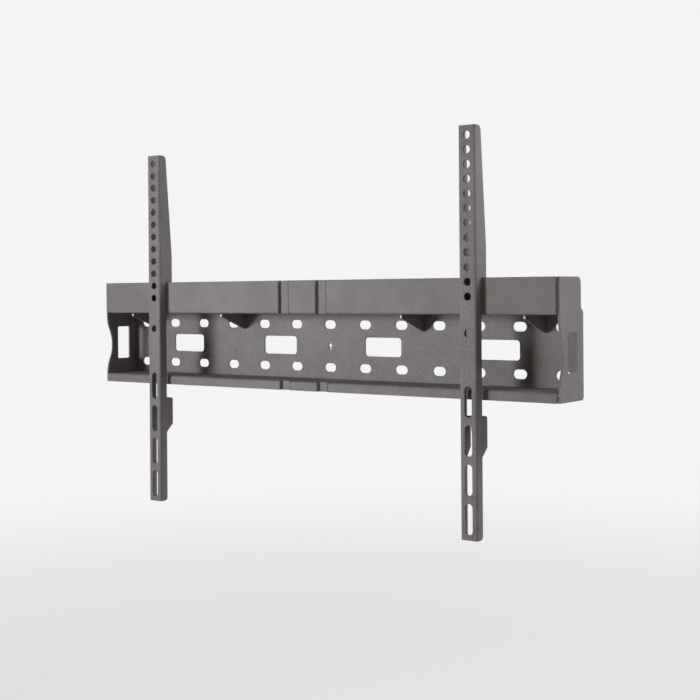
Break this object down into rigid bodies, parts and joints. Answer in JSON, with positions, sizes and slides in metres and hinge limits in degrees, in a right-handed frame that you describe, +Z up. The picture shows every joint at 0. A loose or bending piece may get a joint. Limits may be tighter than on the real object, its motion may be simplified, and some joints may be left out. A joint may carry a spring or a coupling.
{
  "type": "tv wall mount",
  "caption": "Low wall mount for a flat screen: folded wall plate with a shelf bay, and two slotted brackets that hook over its rail and are held by lock screws.",
  "frame": {"origin": "on the wall, halfway between the two rows of wall slots and halfway along the wall plate", "axes": "+Y into the wall, +Z up, +X to the right as seen by someone who faces the wall"},
  "size_m": [0.644, 0.0667, 0.424],
  "materials": {
    "powder_coat": "fine textured powder coat, satin",
    "zinc": "bright zinc plate"
  },
  "bodies": {
    "plate": {"wall_plate": "powder_coat", "side_plate_left": "powder_coat", "side_plate_right": "powder_coat", "gusset_1": "powder_coat", "gusset_2": "powder_coat", "gusset_3": "powder_coat", "gusset_4": "powder_coat"},
    "left_bracket": {"bracket_left": "powder_coat"},
    "right_bracket": {"bracket_right": "powder_coat"},
    "left_screw": {"lock_screw_left": "zinc"},
    "right_screw": {"lock_screw_right": "zinc"}
  },
  "joints": [
    {"name": "left_bracket_slide", "type": "slide", "parent": "plate", "child": "left_bracket", "axis": [1, 0, 0], "range_m": [-0.0855, 0.1745]},
    {"name": "right_bracket_slide", "type": "slide", "parent": "plate", "child": "right_bracket", "axis": [1, 0, 0], "range_m": [-0.1774, 0.0826]},
    {"name": "left_screw_travel", "type": "slide", "parent": "left_bracket", "child": "left_screw", "axis": [0, 0, 1], "range_m": [-0.009, 0.002]},
    {"name": "right_screw_travel", "type": "slide", "parent": "right_bracket", "child": "right_screw", "axis": [0, 0, 1], "range_m": [-0.009, 0.002]}
  ]
}
